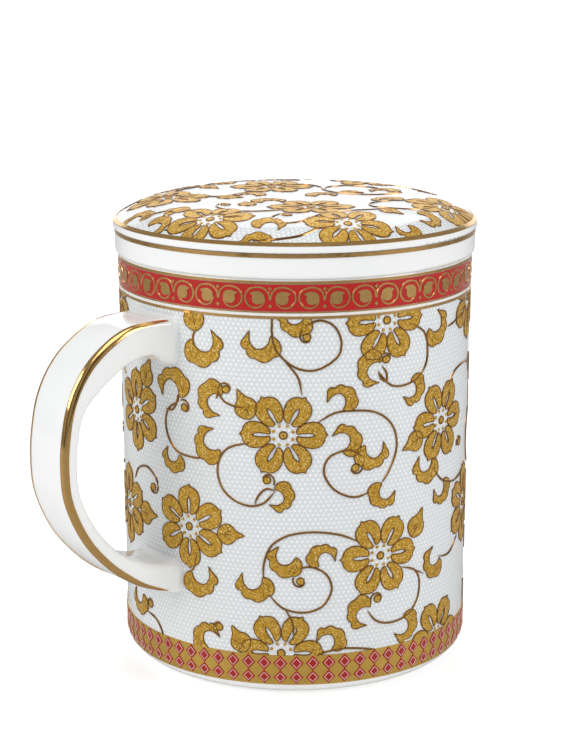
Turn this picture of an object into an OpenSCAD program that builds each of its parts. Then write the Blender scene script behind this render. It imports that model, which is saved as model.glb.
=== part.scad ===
// Lidded tea mug with a hanging infuser, in millimetres.
// +Z is up, the foot stands on Z = 0, the mug's axis is the Z axis
// and the strap handle points along -X.

/* [Mug] */
// Outside radius of the mug at its rim
body_r = 42; // [36:0.5:52]
// Height of the mug from the foot to the rim
body_h = 97.7; // [82:0.1:120]
// How much narrower the side is just above the rounded foot
side_taper = 0.6; // [0:0.1:2]
// Thickness of the side
wall = 3; // [2.4:0.1:4]
// Height of the rounded turn from the side into the foot
foot_round = 5; // [4:0.5:6.5]

/* [Handle] */
// Reach of the strap beyond the side of the mug
handle_reach = 30; // [26:0.5:38]
// Width of the strap
strap_w = 14.4; // [11:0.2:18]
// Thickness of the strap where the fingers hold it
strap_t = 4; // [3.4:0.1:5]

/* [Infuser] */
// Height of the white collar that shows above the rim
collar_h = 5.8; // [4.5:0.1:7.5]
// Depth of the strainer below the rim of the mug
strainer_depth = 60; // [45:1:72]
// Thickness of the strainer's side
strainer_wall = 2.2; // [1.8:0.1:3]
// Diameter of one drain hole
drain_d = 3; // [2:0.1:3.4]
// Rings of drain holes round the middle one
drain_rings = 4; // [2:1:4]

/* [Lid] */
// Rise of the dome above the lid's edge
dome_rise = 4.9; // [4:0.1:7]
// Radius of the flat middle of the dome
dome_flat = 28; // [20:0.5:32]
// Height of the lid's white edge
lid_edge = 1.6; // [1.4:0.1:2.6]
// Thickness of the dome
lid_t = 3; // [2.4:0.1:4]
// Depth of the ring that keeps the lid central
skirt_depth = 6; // [4:0.5:9]

/* [Bands] */
// Height of the red scroll band
scroll_h = 6; // [5:0.1:7]
// Height of the lozenge band at the foot
lozenge_h = 7.3; // [6:0.1:8.5]
// Height that the enamel and the gold stand proud
relief = 0.15; // [0.12:0.01:0.25]

/* [Hidden] */
$fn = 96;

// Mug side: a slight cone above the rounded turn into the foot.
foot_r = body_r - side_taper;
turn_x = foot_r - foot_round;
foot_recess = 1.5;
foot_ring_w = 3.4;
floor_t = 4;
inner_round = 8;
lip_round = 0.5;
inner_r = body_r - wall;
inner_foot_r = foot_r - wall;
inner_z = foot_recess + floor_t;

// Decoration heights, measured down from the rim and up from the foot.
line_gap = 0.1;
rim_line_h = 0.6;
rim_line_z = body_h - lip_round - rim_line_h;
scroll_z = rim_line_z - line_gap - scroll_h;
thin_line_h = 0.3;
thin_line_z = scroll_z - line_gap - thin_line_h;
white_strip = 0.7;
field_line_h = 0.6;
field_line_z = thin_line_z - white_strip - field_line_h;
lozenge_z = 2.8;

// Handle: stations along the middle of the strap, from the upper root round
// to the lower one. Each gives how far out it is as a part of the reach, how
// high as a part of the mug's height, and the thickness there as a multiple
// of strap_t. The first and last lie inside the wall.
strap_stations = [
  [-0.13, 0.828, 3.1], [0, 0.835, 2.75], [0.16, 0.85, 2], [0.38, 0.842, 1.95],
  [0.6, 0.805, 1.85], [0.745, 0.765, 1.6], [0.85, 0.72, 1.2], [0.905, 0.665, 1.05],
  [0.933, 0.59, 1], [0.905, 0.505, 1], [0.76, 0.412, 1.05], [0.545, 0.338, 1.1],
  [0.315, 0.293, 1.4], [0.11, 0.271, 1.75], [-0.02, 0.264, 2.05], [-0.13, 0.26, 2.2]
];
strap_steps = 4;
corner_steps = 4;
edge_round = 1.3;
line_skip = 6;

// Infuser: it hangs by its collar on the rim of the mug.
hang_gap = 1.4;
strainer_r = inner_r - hang_gap;
strainer_in = strainer_r - strainer_wall;
collar_r = body_r + 0.85;
collar_round = 0.9;
collar_top = body_h + collar_h;
strainer_z = body_h - strainer_depth;
strainer_floor = 3;
strainer_corner = 6;
collar_line_h = 0.9;
collar_line_z = collar_top - 0.1 - collar_line_h;
drain_pitch = (strainer_in - strainer_corner) / 4.6;

// Lid: it rests on the collar and its ring drops inside.
lid_r = collar_r + 0.45;
lid_z = collar_top;
lid_top = lid_z + lid_edge;
lid_round = 0.5;
skirt_gap = 0.8;
skirt_w = 2.6;
skirt_r = strainer_in - skirt_gap;
under_r = skirt_r - skirt_w;
under_rise = dome_rise + lid_edge - lid_t;
under_ledge = 0.4;
under_flat = under_r / 2;
lid_line_w = 0.9;

porcelain = [0.96, 0.96, 0.94];
gold = [0.83, 0.63, 0.22];
red = [0.72, 0.09, 0.05];

// Radius of the mug's side at height z.
function side_at(z) = foot_r + side_taper * (z - foot_round) / (body_h - foot_round);

// Outline of the mug's outside, grown outwards by t.
module body_outline(t) {
  square([turn_x, foot_round]);
  translate([0, foot_round])
    polygon([[0, 0], [foot_r + t, 0],
             [body_r + t, body_h - foot_round], [0, body_h - foot_round]]);
  intersection() {
    translate([turn_x, foot_round]) circle(r = foot_round + t);
    translate([turn_x, 0]) square([foot_round + t, foot_round]);
  }
}

module body_solid() {
  rotate_extrude() body_outline(0);
}

// A ring that stands proud of the side, between two heights.
module side_ring(z, h) {
  rotate_extrude()
    difference() {
      intersection() {
        body_outline(relief);
        translate([turn_x, z]) square([foot_r, h]);
      }
      body_outline(0);
    }
}

// Outline of the cup's rounded hollow, carried on past the rim.
module cup_outline() {
  corner_x = inner_foot_r - inner_round;
  corner_z = inner_z + inner_round;
  translate([0, inner_z]) square([corner_x, inner_round]);
  intersection() {
    translate([corner_x, corner_z]) circle(r = inner_round);
    translate([corner_x, inner_z]) square([inner_round, inner_round]);
  }
  polygon([[0, corner_z], [inner_foot_r, corner_z],
           [inner_r, body_h], [inner_r, body_h + 1], [0, body_h + 1]]);
}

// What a small rounded edge leaves off the corner of an outline at r and z.
module corner_off(r, z, out, up, round) {
  difference() {
    translate([out > 0 ? r - round : r - 1, up > 0 ? z - round : z - 1])
      square([round + 1, round + 1]);
    translate([r - out * round, z - up * round]) circle(r = round);
  }
}

module mug_body() {
  color(porcelain)
    rotate_extrude()
      difference() {
        body_outline(0);
        cup_outline();
        corner_off(body_r, body_h, 1, 1, lip_round);
        corner_off(inner_r, body_h, -1, 1, lip_round);
        translate([0, -1]) square([turn_x - foot_ring_w, foot_recess + 1]);
      }
}

// Point of a smooth curve between b and c, for t from 0 to 1.
function blend(a, b, c, d, t) =
  (2 * b + (c - a) * t + (2 * a - 5 * b + 4 * c - d) * t * t
   + (3 * b - a - 3 * c + d) * t * t * t) / 2;

// Middle of the strap as points of [distance from axis, height, thickness].
strap_points = [for (s = strap_stations)
  [body_r + s[0] * handle_reach, s[1] * body_h, s[2] * strap_t]];
strap_last = len(strap_points) - 1;
strap_path = [
  for (i = [0:strap_last - 1]) for (k = [0:strap_steps - 1])
    blend(strap_points[max(i - 1, 0)], strap_points[i], strap_points[i + 1],
          strap_points[min(i + 2, strap_last)], k / strap_steps),
  strap_points[strap_last]
];
path_last = len(strap_path) - 1;

// Unit normal of the path at point j, away from the finger gap.
function path_normal(j) =
  let (step = strap_path[min(j + 1, path_last)] - strap_path[max(j - 1, 0)],
       size = norm([step[0], step[1]]))
  [-step[1] / size, step[0] / size];

// Section point: corner q of a rounded rectangle, turned k steps round,
// with the corner grown outwards by grow.
function section_point(q, k, t, grow) =
  let (turn = 90 * (q + k / corner_steps),
       side = q == 0 || q == 3 ? 1 : -1,
       up = q < 2 ? 1 : -1,
       round = edge_round + grow)
  [side * (strap_w / 2 - edge_round) + round * cos(turn),
   up * (t / 2 - edge_round) + round * sin(turn)];

// The same point in the mug's frame, on ring j of the strap.
function strap_place(j, p) =
  let (n = path_normal(j), c = strap_path[j])
  [-(c[0] + p[1] * n[0]), p[0], c[1] + p[1] * n[1]];

// Closed skin over rings of points, all with the same count.
module skin(rings) {
  count = len(rings[0]);
  last = len(rings) - 1;
  polyhedron(
    points = [for (ring = rings) for (p = ring) p],
    faces = [
      [for (i = [0:count - 1]) i],
      for (j = [0:last - 1]) for (i = [0:count - 1])
        let (a = j * count, b = a + count, n = (i + 1) % count)
        each [[a + i, b + i, b + n], [a + i, b + n, a + n]],
      [for (i = [0:count - 1]) last * count + count - 1 - i]
    ]);
}

module handle() {
  color(porcelain)
    difference() {
      skin([for (j = [0:path_last])
        [for (q = [0:3]) for (k = [0:corner_steps])
          strap_place(j, section_point(q, k, strap_path[j][2], 0))]]);
      body_solid();
    }
}

// One gold line: it wraps the outer edge of the strap on side q.
module handle_line(q) {
  skin([for (j = [line_skip:path_last - line_skip]) let (t = strap_path[j][2]) [
    for (k = [0:corner_steps]) strap_place(j, section_point(q, k, t, relief)),
    for (k = [corner_steps:-1:0]) strap_place(j, section_point(q, k, t, 0))
  ]]);
}

module handle_lines() {
  color(gold)
    for (q = [0, 1]) handle_line(q);
}

// Outline of the collar and the strainer.
module infuser_outline() {
  corner_x = strainer_r - strainer_corner;
  translate([0, strainer_z]) square([corner_x, strainer_corner]);
  intersection() {
    translate([corner_x, strainer_z + strainer_corner]) circle(r = strainer_corner);
    translate([corner_x, strainer_z]) square(strainer_corner);
  }
  translate([0, strainer_z + strainer_corner])
    square([strainer_r, collar_top - strainer_z - strainer_corner]);
  translate([0, body_h]) square([collar_r, collar_h]);
}

// Outline of the hollow inside them.
module strainer_hollow() {
  corner = strainer_corner - strainer_wall;
  floor_z = strainer_z + strainer_floor;
  corner_x = strainer_in - corner;
  translate([0, floor_z]) square([corner_x, corner]);
  intersection() {
    translate([corner_x, floor_z + corner]) circle(r = corner);
    translate([corner_x, floor_z]) square(corner);
  }
  translate([0, floor_z + corner]) square([strainer_in, collar_top - floor_z]);
}

module drain_hole(r, turn) {
  rotate([0, 0, turn]) translate([r, 0, strainer_z - 1])
    cylinder(d = drain_d, h = strainer_floor + 2);
}

module infuser() {
  color(porcelain)
    difference() {
      rotate_extrude()
        difference() {
          infuser_outline();
          strainer_hollow();
          corner_off(collar_r, body_h, 1, -1, collar_round);
          corner_off(collar_r, collar_top, 1, 1, lip_round);
          corner_off(strainer_in, collar_top, -1, 1, lip_round);
        }
      drain_hole(0, 0);
      for (ring = [1:drain_rings])
        for (k = [0:6 * ring - 1])
          drain_hole(ring * drain_pitch, k * 60 / ring);
    }
}

// Outline of a low dome: flat out to a radius, then rounded down to r at height z.
module dome_outline(flat, r, z, rise, grow) {
  run = r - flat;
  arc_r = (run * run + rise * rise) / (2 * rise);
  translate([0, z - lid_edge]) square([flat, rise + grow + lid_edge]);
  intersection() {
    translate([flat, z + rise - arc_r]) circle(r = arc_r + grow, $fn = 360);
    translate([flat, z - lid_edge]) square([run, rise + grow + lid_edge]);
  }
}

module lid() {
  skirt_z = lid_z - skirt_depth;
  color(porcelain)
    rotate_extrude()
      difference() {
        union() {
          dome_outline(dome_flat, lid_r, lid_top, dome_rise, 0);
          translate([under_r, skirt_z]) square([skirt_w, skirt_depth + lid_edge / 2]);
        }
        dome_outline(under_flat, under_r - under_ledge, lid_z, under_rise, 0);
        corner_off(lid_r, lid_z, 1, -1, lid_round);
        corner_off(skirt_r, skirt_z, 1, -1, lid_round);
        corner_off(under_r, skirt_z, -1, -1, lid_round);
      }
}

module scroll_band() {
  color(red) side_ring(scroll_z, scroll_h);
}

module body_lines() {
  color(gold) {
    side_ring(rim_line_z, rim_line_h);
    side_ring(thin_line_z, thin_line_h);
    side_ring(field_line_z, field_line_h);
  }
}

module lozenge_band() {
  color(gold) side_ring(lozenge_z, lozenge_h);
}

module collar_line() {
  color(gold)
    translate([0, 0, collar_line_z])
      difference() {
        cylinder(r = collar_r + relief, h = collar_line_h);
        translate([0, 0, -1]) cylinder(r = collar_r, h = collar_line_h + 2);
      }
}

// Gold line on the dome, just inside the lid's edge.
module lid_line() {
  color(gold)
    rotate_extrude()
      intersection() {
        difference() {
          dome_outline(dome_flat, lid_r, lid_top, dome_rise, relief);
          dome_outline(dome_flat, lid_r, lid_top, dome_rise, 0);
        }
        translate([lid_r - lid_line_w, lid_z]) square([lid_line_w, lid_edge + dome_rise]);
      }
}

mug_body();
handle();
infuser();
lid();
scroll_band();
body_lines();
lozenge_band();
handle_lines();
collar_line();
lid_line();
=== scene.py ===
# %% [markdown]
# # A lidded tea mug, fired white and gilded
# The shaped parts come from the frame: mug, handle, hanging infuser, lid and the bands.
# Everything painted or gilded on them is built here, around those shapes.
# The frame is loaded first.

import math

import bpy
import numpy as np
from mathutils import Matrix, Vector


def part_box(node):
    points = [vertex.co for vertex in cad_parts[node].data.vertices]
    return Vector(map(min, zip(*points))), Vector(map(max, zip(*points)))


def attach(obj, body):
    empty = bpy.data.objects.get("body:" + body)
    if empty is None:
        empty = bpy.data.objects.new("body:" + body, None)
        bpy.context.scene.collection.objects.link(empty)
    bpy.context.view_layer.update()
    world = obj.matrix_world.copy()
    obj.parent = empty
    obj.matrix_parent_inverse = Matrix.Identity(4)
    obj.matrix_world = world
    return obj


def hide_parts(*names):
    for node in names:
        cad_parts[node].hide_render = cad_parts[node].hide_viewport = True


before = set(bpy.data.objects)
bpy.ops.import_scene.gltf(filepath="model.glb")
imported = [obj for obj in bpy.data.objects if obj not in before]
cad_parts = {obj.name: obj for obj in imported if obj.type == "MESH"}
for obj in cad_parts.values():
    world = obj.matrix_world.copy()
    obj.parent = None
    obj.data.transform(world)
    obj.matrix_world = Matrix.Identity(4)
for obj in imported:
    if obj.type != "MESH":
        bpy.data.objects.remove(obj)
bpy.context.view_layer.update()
MM = 0.001
for part_name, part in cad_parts.items():
    print(part_name, "has", len(part.data.vertices), "vertices")

# %% [markdown]
# ## Measures of the mug
# Transfers follow the surface they are fired on, so the script needs the radius at each height.
# The radii and heights are read from the parts' boxes. The side is a slight cone above a rounded
# foot, and the lid is a low dome with a flat middle.

# %% Measures taken from the parts
scroll_low, scroll_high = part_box("scroll_band")
mug_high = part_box("mug_body")[1]
lid_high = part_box("lid")[1]

RIM_R = mug_high.x / MM
RIM_Z = mug_high.z / MM
SIDE_TAPER = 0.6
FOOT_ROUND = 5.0
FIELD_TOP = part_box("body_lines")[0].z / MM
FIELD_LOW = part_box("lozenge_band")[1].z / MM
LID_R = lid_high.x / MM
LID_TOP = lid_high.z / MM
DOME_FLAT = 28.0
DOME_RISE = 4.9
DOME_ARC = ((LID_R - DOME_FLAT) ** 2 + DOME_RISE ** 2) / (2 * DOME_RISE)
print("rim radius", round(RIM_R, 2), "lid radius", round(LID_R, 2), "dome arc", round(DOME_ARC, 1))


def side_radius(height):
    """Radius of the mug's outside at a height, in millimetres, round the foot too."""
    foot_r = RIM_R - SIDE_TAPER
    cone = foot_r + SIDE_TAPER * (height - FOOT_ROUND) / (RIM_Z - FOOT_ROUND)
    drop = np.clip(FOOT_ROUND - height, 0, FOOT_ROUND)
    turn = foot_r - FOOT_ROUND + np.sqrt(FOOT_ROUND ** 2 - drop ** 2)
    return np.where(height >= FOOT_ROUND, cone, turn)


def dome_height(radius):
    """Height of the lid's top at a distance from its middle, in millimetres."""
    out = np.clip(radius - DOME_FLAT, 0, None)
    return LID_TOP - DOME_ARC + np.sqrt(DOME_ARC ** 2 - out ** 2)


# %% [markdown]
# ## Small helpers for shader trees
# Each finish is a node tree. These helpers add one node, set its values and join it, so that
# the finishes below read as a recipe.

# %% Helpers for finishes
def add_node(tree, kind, inputs=None, **settings):
    node = tree.nodes.new("ShaderNode" + kind)
    for key, value in settings.items():
        setattr(node, key, value)
    for key, value in (inputs or {}).items():
        if isinstance(value, bpy.types.NodeSocket):
            tree.links.new(value, node.inputs[key])
        else:
            node.inputs[key].default_value = value
    return node


def maths(tree, operation, first, second=0.0, third=0.0):
    node = add_node(tree, "Math", {0: first, 1: second, 2: third}, operation=operation)
    return node.outputs[0]


def mix_colours(tree, factor, first, second):
    node = add_node(tree, "Mix", data_type="RGBA")
    for slot, value in ((0, factor), (6, first), (7, second)):
        if isinstance(value, bpy.types.NodeSocket):
            tree.links.new(value, node.inputs[slot])
        else:
            node.inputs[slot].default_value = value
    return node.outputs[2]


def new_finish(name, **values):
    finish = bpy.data.materials.new(name)
    finish.use_nodes = True
    shader = finish.node_tree.nodes["Principled BSDF"]
    for key, value in values.items():
        shader.inputs[key.replace("_", " ").title().replace("Ior", "IOR")].default_value = value
    return finish, finish.node_tree, shader


def join_finish(tree, shader, colour, rough, bump):
    """Feed a shader its colour, its roughness and the normal from a bump node."""
    tree.links.new(colour, shader.inputs["Base Color"])
    tree.links.new(rough, shader.inputs["Roughness"])
    tree.links.new(bump.outputs[0], shader.inputs["Normal"])


def object_place(tree):
    """Sockets of the object coordinates in millimetres: all three, then x, y and z."""
    place = add_node(tree, "TexCoord").outputs["Object"]
    scaled = add_node(tree, "VectorMath", {0: place, 1: (1000, 1000, 1000)}, operation="MULTIPLY")
    split = add_node(tree, "SeparateXYZ", {0: scaled.outputs[0]})
    return scaled.outputs[0], split.outputs[0], split.outputs[1], split.outputs[2]


# %% [markdown]
# ## Wear and unevenness shared by the finishes
# Fired glaze is never perfectly even: it pools slightly and holds a few pinholes. One node group
# gives a slow mottle and fine specks, and each finish takes as much of them as suits it.

# %% Unevenness group
def make_unevenness():
    group = bpy.data.node_groups.new("Fired unevenness", "ShaderNodeTree")
    for label, side, kind in (("Place", "INPUT", "Vector"), ("Mottle size", "INPUT", "Float"),
                              ("Mottle", "OUTPUT", "Float"), ("Specks", "OUTPUT", "Float")):
        group.interface.new_socket(label, in_out=side, socket_type="NodeSocket" + kind)
    entry = group.nodes.new("NodeGroupInput")
    leave = group.nodes.new("NodeGroupOutput")
    mottle = add_node(group, "TexNoise", {"Vector": entry.outputs[0], "Scale": entry.outputs[1],
                                          "Detail": 3.0})
    dots = add_node(group, "TexVoronoi", {"Vector": entry.outputs[0], "Scale": 0.12})
    specks = add_node(group, "MapRange", {0: dots.outputs["Distance"], 1: 0.012, 2: 0.03,
                                          3: 1.0, 4: 0.0})
    group.links.new(mottle.outputs[0], leave.inputs[0])
    group.links.new(specks.outputs[0], leave.inputs[1])
    return group


unevenness = make_unevenness()


def place_unevenness(tree, place, size):
    node = tree.nodes.new("ShaderNodeGroup")
    node.node_tree = unevenness
    tree.links.new(place, node.inputs[0])
    node.inputs[1].default_value = size
    return node.outputs[0], node.outputs[1]


# %% [markdown]
# ## White glaze
# The plain porcelain is bright white under a clear glossy glaze. The foot ring stands on the kiln
# shelf, so it is left without glaze: rougher, and a little warmer. A slow mottle bends the gloss.

# %% White glaze
WHITE = (0.84, 0.845, 0.83, 1)
BARE_CLAY = (0.70, 0.66, 0.58, 1)
FIELD_GREY = (0.66, 0.68, 0.68, 1)
DOT_WHITE = (0.86, 0.87, 0.87, 1)
DOT_PITCH = 1.2
DOT_R = 0.3
DOT_RISE = 0.00007


def white_glaze(name, dots_from=None):
    """Glaze finish. dots_from gives flat pattern sockets and a mask for the raised dots."""
    finish, tree, shader = new_finish(name, roughness=0.08, ior=1.52, coat_weight=0.3,
                                      coat_roughness=0.03)
    place, x, y, z = object_place(tree)
    mottle, specks = place_unevenness(tree, place, 0.05)
    bare = add_node(tree, "MapRange", {0: z, 1: 0.25, 2: 0.05}).outputs[0]
    white = mix_colours(tree, maths(tree, "MULTIPLY", mottle, 0.08), WHITE, FIELD_GREY)
    colour = mix_colours(tree, bare, white, BARE_CLAY)
    height = maths(tree, "SUBTRACT", maths(tree, "MULTIPLY", mottle, 0.25),
                   maths(tree, "MULTIPLY", specks, 0.15))
    if dots_from:
        across, up, mask = dots_from(tree, x, y, z)
        dot = hex_dots(tree, across, up)
        speckled = mix_colours(tree, dot, FIELD_GREY, DOT_WHITE)
        colour = mix_colours(tree, mask, colour, speckled)
        height = maths(tree, "ADD", height, maths(tree, "MULTIPLY", dot, mask))
    bump = add_node(tree, "Bump", {"Height": height, "Distance": DOT_RISE, "Strength": 1.0})
    rough = add_node(tree, "MapRange", {0: bare, 3: 0.08, 4: 0.6}).outputs[0]
    join_finish(tree, shader, colour, rough, bump)
    return finish


# %% [markdown]
# ## The field of raised white dots
# Behind the flowers lies a ground of small raised white dots on a cool grey-white. They are a
# regular honeycomb, too small and too many to model, so colour and bump are worked out from the
# distance to the nearest point of two interleaved grids, laid round the side and flat on the lid.
# A mask keeps them to the mug's outside, between the bands, and to the lid's upper side.

# %% Dotted ground
SIDE_DEPTH = 1.5
EDGE_SOFT = 0.05
LID_MARGIN = 0.02
FACING_UP = 0.4


def grid_distance(tree, across, up, shift):
    """Distance to the nearest point of a grid that is shifted by a share of its pitch."""
    row = DOT_PITCH * math.sqrt(3)
    parts = []
    for value, pitch in ((across, DOT_PITCH), (up, row)):
        moved = maths(tree, "ADD", value, shift * pitch)
        wrapped = maths(tree, "WRAP", moved, pitch / 2, -pitch / 2)
        parts.append(maths(tree, "MULTIPLY", wrapped, wrapped))
    return maths(tree, "SQRT", maths(tree, "ADD", parts[0], parts[1]))


def hex_dots(tree, across, up):
    near = maths(tree, "MINIMUM", grid_distance(tree, across, up, 0.0),
                 grid_distance(tree, across, up, 0.5))
    return add_node(tree, "MapRange", {0: near, 1: DOT_R * 1.35, 2: DOT_R * 0.65}).outputs[0]


def side_field(tree, x, y, z):
    turn = maths(tree, "ARCTAN2", y, x)
    across = maths(tree, "MULTIPLY", turn, RIM_R)
    radius = maths(tree, "SQRT", maths(tree, "ADD", maths(tree, "MULTIPLY", x, x),
                                       maths(tree, "MULTIPLY", y, y)))
    outside = maths(tree, "GREATER_THAN", radius, RIM_R - SIDE_DEPTH)
    low, top = [add_node(tree, "MapRange", {0: z, 1: edge - EDGE_SOFT, 2: edge + EDGE_SOFT})
                for edge in (FIELD_LOW, FIELD_TOP)]
    field = maths(tree, "SUBTRACT", low.outputs[0], top.outputs[0])
    return across, z, maths(tree, "MULTIPLY", outside, field)


def lid_field(tree, x, y, z):
    facing = add_node(tree, "SeparateXYZ", {0: add_node(tree, "TexCoord").outputs["Normal"]})
    upward = maths(tree, "GREATER_THAN", facing.outputs[2], FACING_UP)
    above = maths(tree, "GREATER_THAN", z, LID_TOP - DOME_RISE + LID_MARGIN)
    return x, y, maths(tree, "MULTIPLY", upward, above)


plain_glaze = white_glaze("White glaze")
dotted_glaze = white_glaze("Dotted white glaze", side_field)
dotted_lid_glaze = white_glaze("Dotted lid glaze", lid_field)

# %% [markdown]
# ## Golds
# Three golds are fired on: a burnished one for lines and outlines, which mirrors the room; a
# grainy one for petals and leaves, which glitters; and a satin one under the red lozenges. All are
# metal, so they differ in tint, roughness and grain.

# %% Golds
def burnished_gold(name, tint, rough_low, rough_high, metal=1.0):
    finish, tree, shader = new_finish(name, metallic=metal)
    mottle = place_unevenness(tree, object_place(tree)[0], 0.6)[0]
    deep = tuple(channel * 0.72 for channel in tint[:3]) + (1,)
    colour = mix_colours(tree, mottle, tint, deep)
    rough = add_node(tree, "MapRange", {0: mottle, 1: 0.3, 2: 0.7, 3: rough_low, 4: rough_high})
    bump = add_node(tree, "Bump", {"Height": mottle, "Distance": 0.00004})
    join_finish(tree, shader, colour, rough.outputs[0], bump)
    return finish


GRAIN = 4.2


def grainy_gold(name, dark, mid, light, metallic):
    finish, tree, shader = new_finish(name, metallic=metallic)
    cells = add_node(tree, "TexVoronoi", {"Vector": object_place(tree)[0], "Scale": GRAIN})
    grain = add_node(tree, "SeparateColor", {0: cells.outputs["Color"]})
    ramp = add_node(tree, "ValToRGB", {0: grain.outputs[0]})
    stops = ramp.color_ramp.elements
    stops[0].color = dark
    stops[1].color = light
    for spot, colour in ((0.25, mid), (0.75, mid)):
        stops.new(spot).color = colour
    rough = add_node(tree, "MapRange", {0: grain.outputs[1], 3: 0.32, 4: 0.62})
    bump = add_node(tree, "Bump", {"Height": grain.outputs[2], "Distance": 0.00006,
                                   "Strength": 0.8})
    join_finish(tree, shader, ramp.outputs[0], rough.outputs[0], bump)
    return finish


bright_gold = burnished_gold("Burnished gold", (0.84, 0.52, 0.19, 1), 0.07, 0.17)
# The drawn and outline golds are the burnished gold tinted darker and browner: painted shade
# standing in for the dark that these lines mirror.
shaded_vine_gold = burnished_gold("Drawn gold with painted shade", (0.42, 0.22, 0.07, 1), 0.14, 0.28)
shaded_outline_gold = burnished_gold("Outline gold with painted shade", (0.34, 0.17, 0.05, 1), 0.30, 0.44)
satin_gold = burnished_gold("Satin gold", (0.76, 0.48, 0.10, 1), 0.24, 0.38, 0.7)
petal_gold = grainy_gold("Grainy gold", (0.26, 0.12, 0.01, 1), (0.64, 0.36, 0.035, 1),
                         (1.0, 0.76, 0.28, 1), 0.6)

# %% [markdown]
# ## Red enamel
# The red is ground glass, brushed on thick and fired once more. It could be a plain tint, but real
# enamel pools, so its colour deepens in slow patches and its gloss varies with them.

# %% Red enamel
def enamel(name, colour, deep):
    finish, tree, shader = new_finish(name, coat_weight=0.4, coat_roughness=0.04, ior=1.45)
    mottle = place_unevenness(tree, object_place(tree)[0], 0.35)[0]
    pooled = mix_colours(tree, mottle, colour, deep)
    rough = add_node(tree, "MapRange", {0: mottle, 3: 0.12, 4: 0.25})
    bump = add_node(tree, "Bump", {"Height": mottle, "Distance": 0.00005})
    join_finish(tree, shader, pooled, rough.outputs[0], bump)
    return finish


band_red = enamel("Band red", (0.46, 0.005, 0.001, 1), (0.38, 0.003, 0.001, 1))
lozenge_red = enamel("Lozenge red", (0.38, 0.006, 0.004, 1), (0.28, 0.004, 0.003, 1))
outline_pink = enamel("Lozenge outline", (0.80, 0.60, 0.54, 1), (0.66, 0.44, 0.38, 1))

# %% [markdown]
# ## Finishes on the shaped parts
# The parts keep their shapes and only take a finish. The mug and the lid carry the dotted ground.

# %% Dress the parts
NODE_FINISH = {"mug_body": dotted_glaze, "handle": plain_glaze, "infuser": plain_glaze,
               "lid": dotted_lid_glaze, "scroll_band": band_red, "body_lines": bright_gold,
               "lozenge_band": satin_gold, "handle_lines": bright_gold,
               "collar_line": bright_gold, "lid_line": bright_gold}
for part_name, finish in NODE_FINISH.items():
    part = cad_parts[part_name]
    part.data.materials.clear()
    part.data.materials.append(finish)
    print(part_name, "takes", finish.name)

# %% [markdown]
# ## Transfers: how the gilding is built
# A potter prints the whole pattern flat on paper and slides it onto the glazed mug. The pieces are
# made the same way: each motif is modelled once, lying flat, then copies are set out on a flat
# sheet, trimmed where a band cuts them, and the sheet is bent round the side or over the dome.

# %% Drawing helpers
def smooth_line(points, steps=5, closed=False):
    """Smooth curve through a few points, with steps short pieces between each two."""
    points = np.array(points, float)
    count = len(points)
    spans = count if closed else count - 1
    curve = []
    for i in range(spans):
        picks = [i - 1, i, i + 1, i + 2]
        if closed:
            a, b, c, d = [points[k % count] for k in picks]
        else:
            a, b, c, d = [points[min(max(k, 0), count - 1)] for k in picks]
        for t in np.arange(steps) / steps:
            curve.append(0.5 * (2 * b + (c - a) * t + (2 * a - 5 * b + 4 * c - d) * t ** 2
                                + (3 * b - a - 3 * c + d) * t ** 3))
    if not closed:
        curve.append(points[-1])
    return np.array(curve)


def ribbon(path, width, height, closed=False, point_ends=False):
    """Rounded line of gold along a flat path: its vertices and faces."""
    path = np.array(path, float)
    if closed:
        ahead = np.roll(path, -1, axis=0) - np.roll(path, 1, axis=0)
    else:
        ahead = np.gradient(path, axis=0)
    ahead /= np.maximum(np.linalg.norm(ahead, axis=1), 1e-9)[:, None]
    side = np.stack([-ahead[:, 1], ahead[:, 0]], axis=1)
    share = np.ones(len(path))
    if point_ends:
        run = np.minimum(np.arange(len(path)), np.arange(len(path))[::-1])
        share = np.clip((run + 0.3) / 4, 0.1, 1)
    section = ((-0.5, -0.05), (-0.3, 0.85 * height), (0.3, 0.85 * height), (0.5, -0.05))
    verts = []
    for point, out, scale in zip(path, side, share):
        for reach, lift in section:
            flat = point + out * reach * width * scale
            verts.append((flat[0], flat[1], lift))
    faces = []
    rings = len(path)
    size = len(section)
    for i in range(rings if closed else rings - 1):
        a, b = i * size, (i + 1) % rings * size
        for k in range(size):
            n = (k + 1) % size
            faces.append((a + k, a + n, b + n, b + k))
    if not closed:
        faces.append(tuple(range(size))[::-1])
        faces.append(tuple(range((rings - 1) * size, rings * size)))
    return np.array(verts), faces


def turned(points, degrees, scale=1.0, mirrored=False, centre=(0, 0)):
    """Flat points scaled, mirrored left to right if asked, turned and moved."""
    points = np.array(points, float).copy()
    if mirrored:
        points[:, 0] *= -1
    a = math.radians(degrees)
    x = points[:, 0] * math.cos(a) - points[:, 1] * math.sin(a)
    y = points[:, 0] * math.sin(a) + points[:, 1] * math.cos(a)
    points[:, 0] = x * scale + centre[0]
    points[:, 1] = y * scale + centre[1]
    return points


# %% [markdown]
# ## Sheets
# A sheet gathers many flat motifs into one mesh. It is trimmed by cutting planes in edit mode, then
# bent: across becomes the angle round the mug, up becomes height, and thickness stands outwards.

# %% Sheets and bending
def deselect_all():
    if bpy.context.object and bpy.context.object.mode != "OBJECT":
        bpy.ops.object.mode_set(mode="OBJECT")
    bpy.ops.object.select_all(action="DESELECT")


def activate(piece):
    deselect_all()
    piece.select_set(True)
    bpy.context.view_layer.objects.active = piece


def sheet_of(name, motifs, finish):
    """One mesh from a list of (vertices, faces) laid flat, in millimetres."""
    verts, faces, base = [], [], 0
    for motif_verts, motif_faces in motifs:
        verts.extend(map(tuple, motif_verts))
        faces.extend(tuple(base + k for k in face) for face in motif_faces)
        base += len(motif_verts)
    mesh = bpy.data.meshes.new(name)
    mesh.from_pydata(verts, [], faces)
    mesh.materials.append(finish)
    piece = bpy.data.objects.new(name, mesh)
    bpy.context.scene.collection.objects.link(piece)
    return piece


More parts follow.
